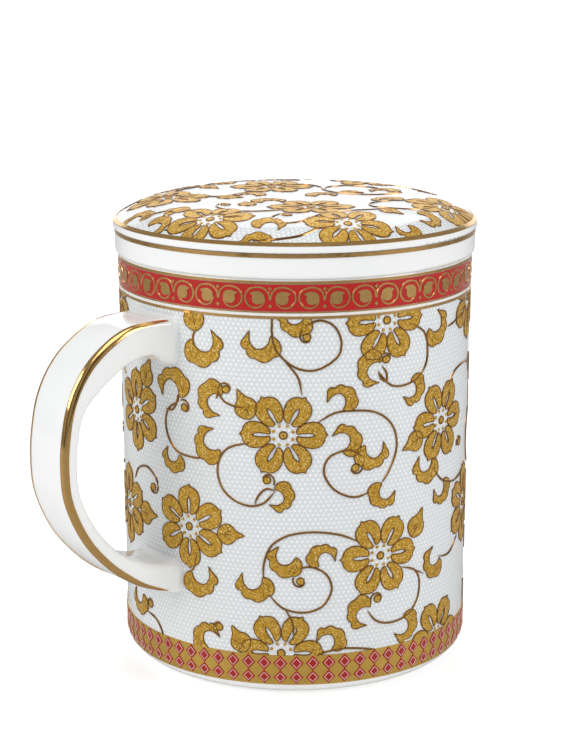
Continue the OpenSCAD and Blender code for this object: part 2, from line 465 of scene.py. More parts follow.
def edit_all():
    bpy.ops.object.mode_set(mode="EDIT")
    bpy.ops.mesh.select_all(action="SELECT")


def trim(piece, point, normal):
    """Cut the sheet by a plane and drop what lies on the normal's side."""
    activate(piece)
    edit_all()
    bpy.ops.mesh.bisect(plane_co=point, plane_no=normal, clear_outer=True, use_fill=True)
    bpy.ops.object.mode_set(mode="OBJECT")


def read_points(piece):
    points = np.zeros(len(piece.data.vertices) * 3)
    piece.data.vertices.foreach_get("co", points)
    return points.reshape(-1, 3)


def write_points(piece, points):
    piece.data.vertices.foreach_set("co", points.ravel())
    piece.data.update()


def bend_round_side(piece):
    """Wrap a flat sheet round the mug, with its middle line on the handle's side."""
    flat = read_points(piece)
    turn = math.pi + flat[:, 0] / RIM_R
    radius = side_radius(flat[:, 1]) + flat[:, 2]
    bent = np.stack([radius * np.cos(turn), radius * np.sin(turn), flat[:, 1]], axis=1) * MM
    write_points(piece, bent)
    settle(piece, "mug")


def bend_over_dome(piece):
    """Lay a flat sheet over the lid's dome."""
    flat = read_points(piece)
    radius = np.hypot(flat[:, 0], flat[:, 1])
    flat[:, 2] += dome_height(radius)
    write_points(piece, flat * MM)
    settle(piece, "lid")


def settle(piece, body):
    """Smooth a finished piece's faces and give it its body."""
    activate(piece)
    bpy.ops.object.shade_smooth_by_angle(angle=math.radians(40))
    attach(piece, body)
    print(piece.name, "has", len(piece.data.polygons), "faces")


def across(degrees):
    """Distance round the mug, from the handle, for an angle in degrees."""
    return math.radians(degrees) * RIM_R


# %% [markdown]
# ## One petal
# A petal is a rounded plate with a small outer point and a narrow slit from its root. It starts as
# a circle primitive, whose points are pulled to the outline. The plate is cut into small cells by
# planes so that it can bend, and gets its thickness from a modifier.

# %% Plates from outlines
CELL = 1.7
PLATE_T = 0.14
PLATE_SINK = 0.05


def plate(name, outline):
    """Thin plate from a closed outline: its vertices and faces."""
    deselect_all()
    bpy.ops.mesh.primitive_circle_add(vertices=len(outline), radius=1, fill_type="NGON")
    piece = bpy.context.object
    piece.name = name
    rim = np.column_stack([outline, np.zeros(len(outline))])
    write_points(piece, rim)
    bpy.ops.object.mode_set(mode="EDIT")
    for axis in (0, 1):
        low, high = rim[:, axis].min(), rim[:, axis].max()
        normal = (1, 0, 0) if axis == 0 else (0, 1, 0)
        for cut in np.arange(low + CELL, high - 0.3 * CELL, CELL):
            bpy.ops.mesh.select_all(action="SELECT")
            bpy.ops.mesh.bisect(plane_co=tuple(cut * k for k in normal), plane_no=normal)
    bpy.ops.mesh.select_all(action="SELECT")
    bpy.ops.mesh.normals_make_consistent(inside=False)
    bpy.ops.object.mode_set(mode="OBJECT")
    if piece.data.polygons[0].normal.z < 0:
        piece.data.flip_normals()
    solid = piece.modifiers.new("Thickness", "SOLIDIFY")
    solid.thickness = PLATE_T + PLATE_SINK
    solid.offset = 1
    bpy.ops.object.modifier_apply(modifier=solid.name)
    points = read_points(piece)
    points[:, 2] -= PLATE_SINK
    faces = [tuple(face.vertices) for face in piece.data.polygons]
    bpy.data.objects.remove(piece)
    return points, faces


PETAL_HALF = [(0.28, 3.15), (0.8, 2.95), (1.6, 3.3), (2.45, 4.4), (2.95, 5.8), (3.0, 7.2),
              (2.55, 8.4), (1.6, 9.2), (0.6, 9.5), (0.0, 10.1)]
SLIT_HALF = [(0.28, 3.15), (0.42, 4.4), (0.5, 5.6), (0.33, 6.6), (0.0, 7.2)]
outer = [tuple(point) for point in smooth_line(PETAL_HALF, 3)]
slit = [tuple(point) for point in smooth_line(SLIT_HALF, 3)]
outer_left = [(-x, y) for x, y in outer[::-1]]
slit_left = [(-x, y) for x, y in slit]
petal_outline = np.array(outer + outer_left[1:] + slit_left[1:] + slit[-2:0:-1])
petal_plate = plate("petal", petal_outline)
print("a petal has", len(petal_plate[1]), "faces")

# %% [markdown]
# ## Leaves
# There are two leaves: a heart with a point, veined down its middle, and a hooked leaf of three
# lobes, curled like a wing, which hangs on the vines. Both are plates like the petal.

# %% Leaf outlines
HEART_HALF = [(0.0, 0.0), (0.7, 0.15), (1.7, 0.8), (2.5, 1.9), (2.6, 3.1), (2.05, 4.2),
              (1.3, 4.8), (0.7, 5.8), (0.0, 7.3)]
WING = [(-2.9, 3.8), (-3.5, 2.6), (-4.3, 1.5), (-4.5, 0.5), (-4.0, -0.3), (-3.2, -0.5), (-2.9, -1.5),
        (-1.9, -2.3), (-0.8, -2.3), (0.1, -2.8), (1.3, -2.9), (2.4, -2.3), (3.2, -1.5),
        (4.2, -1.0), (4.7, 0.2), (4.4, 1.6), (3.5, 2.7), (2.0, 3.1), (1.8, 1.7), (1.0, 0.5),
        (-0.2, -0.1), (-1.3, 0.0), (-2.2, 0.8), (-2.75, 1.9)]
heart_left = [(-x, y) for x, y in HEART_HALF[-2:0:-1]]
heart_outline = smooth_line(HEART_HALF + heart_left, 2, closed=True)
wing_outline = smooth_line(WING, 2, closed=True)
heart_plate = plate("heart leaf", heart_outline)
wing_plate = plate("winged leaf", wing_outline)
print("leaves have", len(heart_plate[1]), "and", len(wing_plate[1]), "faces")


# %% [markdown]
# ## Dots
# The stamens and the ends of the tendrils are small round dots, some with a ring round them.

# %% Round dots
def round_outline(radius, count):
    angles = np.arange(count) * 2 * math.pi / count
    return np.column_stack([np.cos(angles), np.sin(angles)]) * radius


stamen_plate = plate("stamen", round_outline(0.38, 10))
boss_plate = plate("boss", round_outline(0.72, 16))

# %% [markdown]
# ## Setting out the side
# Places are an angle round from the handle in degrees and a height in millimetres. One repeat of
# the pattern is set out and comes three times round the mug; a narrow part beside the
# handle comes once. A flower is turned so that two petals lie level, or stand upright.

# %% Flowers and leaves on the side
REPEAT = 103
LEVEL, UPRIGHT = 0, 30
FLOWERS = [(46.4, 62.3, LEVEL), (78, 32.6, LEVEL), (103.9, 61.5, LEVEL), (79.2, 87.5, LEVEL),
           (45.6, 10.7, LEVEL), (104, 8.5, LEVEL), (124.7, 88, UPRIGHT)]
FLOWERS_ONCE = [(14.4, 38.7, UPRIGHT), (-11.8, 62.8, UPRIGHT), (-21.4, 38.2, UPRIGHT),
                (124.7, 37.8, UPRIGHT), (227.7, 37.8, UPRIGHT)]
# Heart leaves: root angle and height, then tip angle and height.
HEARTS = [(36.4, 65.9, 32.0, 72.5), (94.2, 59.2, 85.7, 56.7), (90.4, 35.4, 94.9, 41.9),
          (34.3, 10.6, 29.5, 16.5)]
HEARTS_ONCE = [(24.9, 38.3, 34, 38.3), (-6.2, 69.4, -2.6, 76.4), (-10.6, 38.4, -0.2, 38.8),
               (18.2, 84.9, 15.9, 92.2)]
# Winged leaves: angle, height, turn in degrees, mirrored, size.
WINGS = [(39.4, 81.9, -6, False, 1), (49.6, 87.6, -20, False, 0.9), (72.9, 77, -105, True, 0.95),
         (101.4, 83.2, 45, True, 1), (91.1, 70.2, 65, False, 0.85), (65, 71.1, 147, True, 0.85),
         (67.2, 61.1, 116, True, 0.9), (74.6, 56.1, -3, True, 0.95), (77.8, 46.5, -37, True, 0.85),
         (46.6, 47.8, 80, False, 0.8), (37.1, 25.7, 0, False, 1), (46.2, 31.9, -26, False, 0.95),
         (58.2, 34.4, -158, False, 0.8), (100.2, 26.9, -42, False, 0.95),
         (70.1, 19.8, -109, True, 0.9), (89.4, 13.6, 62, False, 0.9),
         (62.1, 14.4, 142, True, 0.85), (96.2, 50.3, -7, False, 1), (105.6, 43.6, 28, False, 0.85)]
WINGS_ONCE = [(21.2, 80.3, 19, True, 1.15), (22.3, 69.8, -105, True, 1), (8.5, 72.5, 176, True, 1.1),
              (21, 58.6, -65, False, 1), (7.8, 53.2, -15, False, 0.8), (18.7, 25.3, 12, True, 1.05),
              (19.5, 13.2, -127, False, 0.9), (-12.9, 14.8, 0, False, 0.9)]


def repeated(places, once):
    """The repeat three times round, then the places that come once."""
    full = []
    for turn in (0, REPEAT, 2 * REPEAT):
        full += [(place[0] + turn,) + place[1:] for place in places]
    return full + once


flowers = repeated(FLOWERS, FLOWERS_ONCE)
wings = repeated(WINGS, WINGS_ONCE)
hearts = HEARTS_ONCE + [(a + k * REPEAT, b, c + k * REPEAT, d)
                        for k in range(3) for a, b, c, d in HEARTS]
print(len(flowers), "flowers,", len(wings), "winged leaves,", len(hearts), "heart leaves")


# %% [markdown]
# ## Copies of the motifs
# Every copy is a turned and moved set of the same points. A flower is six petals round a ringed
# boss with eight stamens. A thin raised line runs round each petal and leaf.

# %% Copy the motifs
OUTLINE_W = 0.3
OUTLINE_H = 0.24
RIB_W = 0.22
VEIN_W = 0.26
BOSS_RING = 0.9
STAMEN_RING = 2.35
PETALS, STAMENS = 6, 8
HEART_LENGTH = HEART_HALF[-1][1]
HEART_VEINS = [[(0, 0.1), (0.05, 1.5), (0, 2.8), (0, 4.0)], [(0, 1.9), (0.6, 2.5), (1.0, 3.3)],
               [(0, 1.9), (-0.6, 2.5), (-1.0, 3.3)]]
WING_RIBS = [[(3.4, 1.9), (3.1, 0.6), (3.6, -0.4)], [(2.6, 1.2), (2.1, -0.4), (2.2, -1.6)],
             [(-2.6, 1.0), (-3.0, 0.5), (-3.4, 0.5)]]


def copy_of(motif, degrees, centre, scale=1, mirrored=False):
    """A motif turned and moved. A mirrored one has its faces turned the right way out again."""
    points, faces = motif
    if mirrored:
        faces = [face[::-1] for face in faces]
    return turned(points, degrees, scale, mirrored, centre), faces


def flower_at(x, y, turn):
    """Plates, then lines, of one flower on the flat sheet."""
    plates, lines = [], []
    for k in range(PETALS):
        angle = turn + 360 / PETALS * k - 90
        plates.append(copy_of(petal_plate, angle, (x, y)))
        rim = turned(petal_outline, angle, 1, False, (x, y))
        lines.append(ribbon(rim, OUTLINE_W, OUTLINE_H, closed=True))
    plates.append(copy_of(boss_plate, 0, (x, y)))
    lines.append(ribbon(round_outline(BOSS_RING, 16) + (x, y), OUTLINE_W, OUTLINE_H, closed=True))
    for k in range(STAMENS):
        a = math.radians(turn + 360 / STAMENS * k + 22)
        spot = (x + STAMEN_RING * math.cos(a), y + STAMEN_RING * math.sin(a))
        plates.append(copy_of(stamen_plate, 0, spot))
    return plates, lines


def heart_at(root, tip):
    """Plate, then lines, of one heart leaf that points from its root to its tip."""
    dx, dy = tip[0] - root[0], tip[1] - root[1]
    angle = math.degrees(math.atan2(dy, dx)) - 90
    size = math.hypot(dx, dy) / HEART_LENGTH
    rim = turned(heart_outline, angle, size, False, root)
    lines = [ribbon(rim, OUTLINE_W, OUTLINE_H, closed=True)]
    for vein in HEART_VEINS:
        spine = smooth_line(turned(vein, angle, size, False, root), 3)
        lines.append(ribbon(spine, VEIN_W, 0.22, point_ends=True))
    return [copy_of(heart_plate, angle, root, size)], lines


def wing_at(x, y, angle, mirrored, size):
    """Plate, then lines, of one winged leaf."""
    rim = turned(wing_outline, angle, size, mirrored, (x, y))
    if mirrored:
        rim = rim[::-1]
    lines = [ribbon(rim, OUTLINE_W, OUTLINE_H, closed=True)]
    for rib in WING_RIBS:
        spine = smooth_line(turned(rib, angle, size, mirrored, (x, y)), 3)
        lines.append(ribbon(spine, RIB_W, 0.2, point_ends=True))
    return [copy_of(wing_plate, angle, (x, y), size, mirrored)], lines


def gather(*rounds):
    """Plates, then lines, of each motif at all of its places."""
    plates, lines = [], []
    for motif_at, places in rounds:
        for place in places:
            new_plates, new_lines = motif_at(*place)
            plates += new_plates
            lines += new_lines
    return plates, lines


plates, outlines = gather((flower_at, [(across(a), h, turn) for a, h, turn in flowers]))
leaf_plates, leaf_outlines = gather(
    (wing_at, [(across(place[0]),) + place[1:] for place in wings]),
    (heart_at, [((across(a), b), (across(c), d)) for a, b, c, d in hearts]))
print(len(plates), "petal plates and", len(leaf_plates), "leaf plates")

# %% [markdown]
# ## Vines
# The vines are thin drawn lines that sweep from flower to flower and end in spirals. Each is a few
# listed points with a smooth curve through them; a curl winds in to its dot by a formula.

# %% Vines and curls
VINES = [
    [(43.4, 92), (43, 85.3), (45, 81), (50.2, 77.8), (56.4, 77.2), (62.7, 79.8), (64.2, 83.2),
     (62.1, 86.9), (57.6, 88.4), (53, 87.3)],
    [(46.6, 79.4), (50.8, 75.7), (52.1, 71.5)],
    [(88, 86.2), (94, 83.6), (95.8, 79.8), (95.1, 75.7), (90.5, 72.8), (84.9, 71.9), (80.3, 72.8),
     (76.3, 76.1)],
    [(76.3, 76.1), (77.5, 74.2), (79.3, 73.6), (79.3, 75.5), (77.6, 77.2)],
    [(106.5, 83.2), (111, 83.8), (115.6, 85)],
    [(107.6, 69), (112.2, 71.9), (119, 72.8), (125.8, 72.3), (132, 69.8)],
    [(56.5, 65), (62.1, 67.2), (67.8, 67.5), (74.6, 66.9), (79.7, 64.8), (82.8, 61.5),
     (83.4, 57.3), (80.9, 52.8), (78, 49.8)],
    [(74, 48.2), (69, 47.3), (63.8, 48.6), (60.4, 51), (58.9, 54), (60.4, 56.9), (64.4, 58.3),
     (67.8, 58.3), (71.2, 56.8)],
    [(36.3, 60.3), (29.7, 59), (26.3, 56.5), (25.2, 52.8), (26.9, 49), (30.9, 46.5), (36, 45.5),
     (40.5, 46.5), (43.9, 49.4)],
    [(37.4, 46), (38.6, 48), (41, 49.7), (43.9, 49.4)],
    [(70.7, 36.5), (64.4, 38.6), (56.4, 39.6), (48.5, 39), (42.8, 36.5), (40.3, 32.3),
     (40, 28.2)],
    [(41.7, 24.8), (46.2, 21.5), (53, 20.5), (58.7, 21.9), (61.6, 25.7), (59.9, 29.4),
     (55.3, 31.3), (50.8, 31)],
    [(46.8, 21.3), (49.1, 18.2), (49.6, 14)],
    [(86, 28.8), (91.7, 27.3), (94, 24.4), (93.4, 20.3), (89.4, 16.9), (82.6, 15.8),
     (76.9, 16.9), (73.6, 19.8)],
    [(91.7, 27.3), (96.2, 25.6)], [(103.6, 28.4), (111, 27.8), (117.8, 30.7)],
    [(100.8, 49.8), (105.3, 46.9), (112.2, 45.3), (119, 45.7), (124.7, 47.6)],
    [(56, 9.6), (59, 10.6), (65.5, 11.3), (74.6, 10.3), (79, 9)],
    [(34.2, 68.4), (31, 68.5), (28, 69.3), (26.4, 70.6), (25.9, 72)]]
VINES_ONCE = [
    [(10.6, 69.4), (10.4, 67.8), (6.4, 65.7), (5, 62.3), (6.4, 58.6), (10.4, 55.9), (16.7, 55.3),
     (20, 55.6)],
    [(5.2, 65.6), (8, 65.6), (10, 67.4), (10.6, 69.4)], [(25.9, 72), (25.6, 71), (25, 69.8)],
    [(-14.6, 45.7), (-11.8, 48.6), (-6, 50), (-1, 48.4), (0.6, 46)],
    [(-7.2, 14), (-2.1, 13.2), (0.7, 11.1), (2, 9)], [(17.4, 33), (16, 29), (13.6, 27.4)],
    [(18.2, 85.2), (17, 83.6), (17.2, 81.4)]]
# Curls: angle, height, start direction of the hook, and which way it winds.
CURLS = [(53.6, 84.7, 120, 1), (79.1, 78.6, 190, -1), (28.3, 72.2, 185, -1), (41.3, 51.8, -35, 1),
         (69, 54.2, 20, -1), (51.7, 28, 150, 1), (77.1, 22.3, 190, -1), (117.8, 54, 200, -1)]
CURLS_ONCE = [(13.2, 66.7, 120, -1), (-2.1, 45.7, 10, -1), (25.2, 15.7, 260, -1),
              (-5.2, 16.3, 240, -1)]
VINE_W = 0.6
VINE_H = 0.26
CURL_W = VINE_W * 0.85
CURL_REACH, CURL_DRAW, CURL_SWEEP = 1.85, 0.9, 190
CURL_DOT = 1.05


def vine_along(points):
    return ribbon(smooth_line(points, 6), VINE_W, VINE_H, point_ends=True)


def curl_at(x, y, start, wind):
    """Hook that winds in to a ringed dot at x, y: its line, the dot and the ring."""
    points = []
    for k in range(12):
        share = k / 11
        a = math.radians(start + wind * CURL_SWEEP * share)
        reach = CURL_REACH - CURL_DRAW * share
        points.append((x + reach * math.cos(a), y + reach * math.sin(a)))
    dot = copy_of(boss_plate, 0, (x, y), CURL_DOT)
    ring = ribbon(round_outline(BOSS_RING, 14) + (x, y), VEIN_W, OUTLINE_H, closed=True)
    return ribbon(points, CURL_W, VINE_H), dot, ring


vine_lines = []
for turn in (0, REPEAT, 2 * REPEAT):
    for vine in VINES + (VINES_ONCE if turn == 0 else []):
        vine_lines.append(vine_along([(across(a + turn), h) for a, h in vine]))
    for a, h, start, wind in CURLS + (CURLS_ONCE if turn == 0 else []):
        curl, dot, ring = curl_at(across(a + turn), h, start, wind)
        vine_lines.append(curl)
        plates.append(dot)
        outlines.append(ring)
print(len(vine_lines), "vine lines")

# %% [markdown]
# ## Fire the side
# The flat sheets are trimmed to the field between the two bands and bent round the mug.

# %% Bend the side's sheets
TUCK = 0.05
side_sheets = [("petals", plates, petal_gold), ("leaves", leaf_plates, petal_gold),
               ("petal_outlines", outlines, shaded_outline_gold),
               ("leaf_outlines", leaf_outlines, shaded_outline_gold), ("vines", vine_lines, shaded_vine_gold)]
for name, motifs, finish in side_sheets:
    sheet = sheet_of(name, motifs, finish)
    trim(sheet, (0, FIELD_TOP + TUCK, 0), (0, 1, 0))
    trim(sheet, (0, FIELD_LOW - TUCK, 0), (0, -1, 0))
    bend_round_side(sheet)

# %% [markdown]
# ## The scroll band
# On the red band, gold scrolls stand in mirrored pairs: each winds round into a comma, and a pair
# shares one pointed stem. Between them sit small diamonds. Twenty-two pairs go round.

# %% Scrolls on the red band
PAIRS = 22
HALF_PAIR = 3.4
FIRST_STEM = 58.9
BAND_RELIEF = 0.15
SCROLL_MID = (scroll_low.z + scroll_high.z) / 2 / MM
SCROLL = [(3.3, -0.5), (3.2, 0.5), (2.75, 1.4), (1.8, 2.15), (0.5, 2.35), (-1.0, 2.0), (-1.95, 1.1),
          (-2.25, 0.0), (-1.9, -1.2), (-0.95, -2.05), (0.3, -2.3), (1.4, -1.85), (2.0, -1.0),
          (2.05, -0.3)]
COMMA = [(-1.15, 0.95), (-0.3, 1.35), (0.7, 1.45), (1.7, 1.1), (2.2, 0.2), (2.0, -0.8),
         (1.2, -1.4), (0.2, -1.45), (-0.5, -0.95), (-0.65, -0.1), (-0.55, 0.5)]
comma_plate = plate("comma", smooth_line(COMMA, 2, closed=True))
scroll_motifs = []
stems = [across(FIRST_STEM + k * 360 / PAIRS) for k in range(PAIRS)]
for stem in stems:
    for mirrored, shift in ((False, -HALF_PAIR), (True, HALF_PAIR)):
        middle = (stem + shift, SCROLL_MID)
        line = smooth_line(turned(SCROLL, 0, 1, mirrored, middle), 3)
        scroll_motifs.append(ribbon(line, 0.52, 0.12))
        scroll_motifs.append(copy_of(comma_plate, 0, middle, 1, mirrored))
diamond_plate = plate("small diamond", np.array([(0.42, 0), (0, 0.5), (-0.42, 0), (0, -0.5)]))
for stem in stems:
    for lift in (2.05, -1.85):
        scroll_motifs.append(copy_of(diamond_plate, 0, (stem, SCROLL_MID + lift)))


def raise_sheet(sheet, lift):
    points = read_points(sheet)
    points[:, 2] += lift
    write_points(sheet, points)


scrolls = sheet_of("scrolls", scroll_motifs, bright_gold)
raise_sheet(scrolls, BAND_RELIEF - 0.02)
bend_round_side(scrolls)

# %% [markdown]
# ## The lozenge band
# Round the foot run seventy pairs of red diamonds on satin gold, one above the other. Each is a
# small raised tile with a pale line drawn inside it, like a jewel. A tile is a four-sided circle
# primitive with its top face drawn in by an inset, so that its edges slope.

# %% Diamonds on the gold band
COLUMNS = 70
FIRST_COLUMN = 40.2
LINE_SHARE = 0.66
TILE_SINK, TILE_RISE = 0.05, 0.12
TILE_BEVEL = 0.12
# Height of the row, then half the width and half the height of a tile.
ROWS = ((8.25, 1.62, 1.82), (4.8, 1.58, 1.68))


def diamond_tile(half_w, half_h, sink, rise):
    """Tile with a flat top and sloped edges, reaching a little below the surface."""
    deselect_all()
    bpy.ops.mesh.primitive_circle_add(vertices=4, radius=1, fill_type="NGON")
    tile = bpy.context.object
    corners = [(0, half_h, -sink), (-half_w, 0, -sink), (0, -half_h, -sink), (half_w, 0, -sink)]
    write_points(tile, np.array(corners))
    edit_all()
    bpy.ops.mesh.normals_make_consistent(inside=False)
    bpy.ops.mesh.extrude_region_move(TRANSFORM_OT_translate={"value": (0, 0, sink + rise * 0.5)})
    bpy.ops.mesh.inset(thickness=TILE_BEVEL, depth=0)
    bpy.ops.transform.translate(value=(0, 0, rise * 0.5))
    for normal in ((1, 0, 0), (0, 1, 0)):
        bpy.ops.mesh.select_all(action="SELECT")
        bpy.ops.mesh.bisect(plane_co=(0, 0, 0), plane_no=normal)
    bpy.ops.object.mode_set(mode="OBJECT")
    if max(tile.data.polygons, key=lambda f: f.center.z).normal.z < 0:
        tile.data.flip_normals()
    points = read_points(tile)
    faces = [tuple(face.vertices) for face in tile.data.polygons]
    bpy.data.objects.remove(tile)
    return points, faces


tiles, tile_lines = [], []
for height, half_w, half_h in ROWS:
    tile = diamond_tile(half_w, half_h, TILE_SINK, TILE_RISE)
    rhombus = np.array([(0, half_h), (-half_w, 0), (0, -half_h), (half_w, 0)]) * LINE_SHARE
    for k in range(COLUMNS):
        spot = (across(FIRST_COLUMN + k * 360 / COLUMNS), height)
        tiles.append(copy_of(tile, 0, spot))
        rim = np.concatenate([np.linspace(rhombus[i], rhombus[(i + 1) % 4], 3)[:-1]
                              for i in range(4)]) + spot
        tile_lines.append(ribbon(rim, 0.2, 0.05, closed=True))
for name, motifs, finish, lift in (
        ("lozenges", tiles, lozenge_red, BAND_RELIEF),
        ("lozenge_outlines", tile_lines, outline_pink, BAND_RELIEF + TILE_RISE)):
    sheet = sheet_of(name, motifs, finish)
    raise_sheet(sheet, lift)
    bend_round_side(sheet)

# %% [markdown]
# ## The lid's flowers
# The lid carries the same flowers and vines, laid flat and pressed over the dome. Places are across
# and along in millimetres from its middle, then the same values as on the side. The sheet is
# trimmed by cuts all round, just inside the gold line at the lid's edge.

# %% Pattern over the dome
LID_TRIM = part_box("lid_line")[1].x / MM - 1.0
LID_FLOWERS = [(-12.9, -33.6, 20), (-33.5, -10.4, 18), (-8.3, -15.6, 20), (-24.1, 17.9, 35),
               (6.3, 16.5, 20), (20.5, -30.2, 0), (33, 10, 10), (16.5, 36.5, 30), (-11, 38, 0)]
LID_HEARTS = [((-31.5, 0), (-33.5, 5.5)), ((-18, -4.8), (-15, 0.2)), ((-15, 11), (-10.5, 6.5)),
              ((-6, 28.5), (-5.5, 22.5)), ((13.5, -1), (16.5, -6)), ((1.5, -28.5), (3.5, -34)),
              ((30.5, 25.5), (27, 30.5)), ((18, 26.8), (19.5, 21.5))]
LID_WINGS = [(-9.2, -1.2, 150, False, 0.9), (-6, 9.8, 140, True, 0.85), (7, -1.5, 150, False, 0.85),
             (23.5, -6, 120, True, 0.85), (13.6, -17.4, 150, True, 0.85),
             (9.2, -37, 60, False, 0.85), (-26.5, -22.8, 130, False, 0.85),
             (-33, -25.5, 140, True, 0.8), (-39.5, 0, 60, False, 0.85), (-37.5, 11, 110, True, 0.85),
             (-1.2, -41.2, 0, False, 0.7), (34.5, -9, 70, False, 0.9), (3, 30.5, 20, True, 0.9),
             (-25.5, 31.5, 40, False, 0.85)]
LID_VINES = [[(-33.5, -25.5), (-29.5, -29), (-25, -31.5), (-20.5, -31.8), (-17, -33)],
             [(-21, -19.5), (-24.5, -21), (-24.6, -25), (-20, -27), (-12, -25), (-5, -25.5),
              (2, -28.5)],
             [(-22, 1.5), (-25, -2), (-25.5, -8), (-22.5, -12.5), (-17, -14.5), (-13, -15.5)],
             [(11, 17), (15.3, 14.5), (15.5, 9), (12.7, 4.2), (12, -2), (16, -9.5), (23.6, -12)],
             [(12.9, 4.4), (17, 7.5), (22, 6.2), (24.5, 1), (24, -4.5)],
             [(17, -23), (12, -19.5), (6, -20), (3.3, -24), (5, -29), (10, -31.5), (15.5, -31)],
             [(-38.5, 9), (-35.5, 6.5), (-33, 3.5), (-31.5, 0), (-32.5, -5)],
             [(-20, 22), (-16, 26), (-10, 28), (-6, 28.5)], [(-6, 28), (-2, 31), (3, 31), (9, 33)],
             [(30, 17), (31, 22), (30.5, 26)], [(33, 3), (35.5, -3), (35, -8)],
             [(-18, 14), (-13.5, 11.5), (-8, 11.5), (-3, 14), (1, 15.5)],
             [(11, 21.5), (15, 25.5), (20, 27.2), (24, 25.9)]]
LID_CURLS = [(-35.2, 2.4, 30, 1), (-21.3, -0.2, 112, -1), (-20.3, -21.2, 112, -1),
             (24.3, 24.1, 100, -1)]

lid_plates, lid_outlines = gather((flower_at, LID_FLOWERS), (heart_at, LID_HEARTS),
                                  (wing_at, LID_WINGS))
lid_vine_lines = [vine_along(vine) for vine in LID_VINES]
for place in LID_CURLS:
    curl, dot, ring = curl_at(*place)
    lid_vine_lines.append(curl)
    lid_plates.append(dot)
    lid_outlines.append(ring)

TRIM_CUTS = 48
for name, motifs, finish in (("lid_flowers", lid_plates, petal_gold),
                             ("lid_outlines", lid_outlines, shaded_outline_gold),
                             ("lid_vines", lid_vine_lines, shaded_vine_gold)):
    sheet = sheet_of(name, motifs, finish)
    for k in range(TRIM_CUTS):
        a = 2 * math.pi * k / TRIM_CUTS
        outward = (math.cos(a), math.sin(a), 0)
        trim(sheet, tuple(LID_TRIM * c for c in outward), outward)
    bend_over_dome(sheet)

# %% [markdown]
# ## Handle
# The strap is thrown flat, pulled round and pressed on with slip, which leaves a soft swelling at
# each root. It is swept along a smooth line through the same stations as the shaped part, with
# rounder edges, and widens a little where it meets the wall.

# %% Strap handle
handle_low, handle_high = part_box("handle")
STRAP_W = (handle_high.y - handle_low.y) / MM
STRAP_T = 4.0
REACH_UNIT = 30.0
# Stations: distance out and height as shares, thickness as a multiple of the thin part.
STATIONS = [(-0.06, 0.838, 2.9), (0, 0.84, 2.6), (0.16, 0.85, 2.0), (0.38, 0.842, 1.95),
            (0.6, 0.805, 1.85), (0.745, 0.765, 1.6), (0.85, 0.72, 1.2), (0.905, 0.665, 1.05),
            (0.933, 0.59, 1), (0.905, 0.505, 1), (0.76, 0.412, 1.05), (0.545, 0.338, 1.1),
            (0.315, 0.293, 1.35), (0.11, 0.271, 1.6), (0, 0.266, 1.8), (-0.06, 0.264, 2.0)]
middle_line = smooth_line([(RIM_R + a * REACH_UNIT, b * RIM_Z, c * STRAP_T) for a, b, c in STATIONS],
                          8)
ahead = np.gradient(middle_line[:, :2], axis=0)
ahead /= np.linalg.norm(ahead, axis=1)[:, None]
outward = np.stack([-ahead[:, 1], ahead[:, 0]], axis=1)
CORNER_R = 1.35
CORNER_STEPS = 5
FLARE_WIDE, FLARE_SOFT = 2.4, 1.6


def strap_section(thickness, width, grow, corners, soft):
    """Points round a rounded rectangle, across the strap and out from its middle."""
    corner_r = CORNER_R + soft
    points = []
    for corner in corners:
        side = 1 if corner in (0, 3) else -1
        up = 1 if corner < 2 else -1
        for k in range(CORNER_STEPS + 1):
            a = math.radians(90 * (corner + k / CORNER_STEPS))
            points.append((side * (width / 2 - corner_r) + (corner_r + grow) * math.cos(a),
                           up * (thickness / 2 - corner_r) + (corner_r + grow) * math.sin(a)))
    return points


def strap_place(index, across_strap, out):
    x, z = middle_line[index, :2] + outward[index] * out
    return (-x, across_strap, z)


def loft(name, rings, finish):
    """Closed skin over rings of the same number of points."""
    count = len(rings[0])
    verts = [point for ring in rings for point in ring]
    faces = [tuple(range(count)), tuple(range((len(rings) - 1) * count, len(rings) * count))[::-1]]
    for i in range(len(rings) - 1):
        for k in range(count):
            n = (k + 1) % count
            faces.append((i * count + k, (i + 1) * count + k, (i + 1) * count + n, i * count + n))
    piece = sheet_of(name, [(np.array(verts) * MM, faces)], finish)
    activate(piece)
    edit_all()
    bpy.ops.mesh.normals_make_consistent(inside=False)
    bpy.ops.object.mode_set(mode="OBJECT")
    return piece


def section_at(index, grow=0.0, corners=range(4)):
    """The strap's section at a place on its middle line, wider and softer near the wall."""
    gap = max(middle_line[index, 0] - RIM_R, 0)
    flare = math.exp(-gap / 2)
    return strap_section(middle_line[index, 2] + flare, STRAP_W + FLARE_WIDE * flare, grow, corners,
                         FLARE_SOFT * flare)


handle_rings = []
for i in range(len(middle_line)):
    handle_rings.append([strap_place(i, a, b) for a, b in section_at(i)])
strap = loft("strap_handle", handle_rings, plain_glaze)
settle(strap, "mug")
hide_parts("handle")

# %% [markdown]
# ## Gold along the handle
# A brush of burnished gold runs along both outer edges of the strap and thins to a point near each
# root. Each line hugs the rounded edge, so it is the edge's own curve, lifted by a hair.

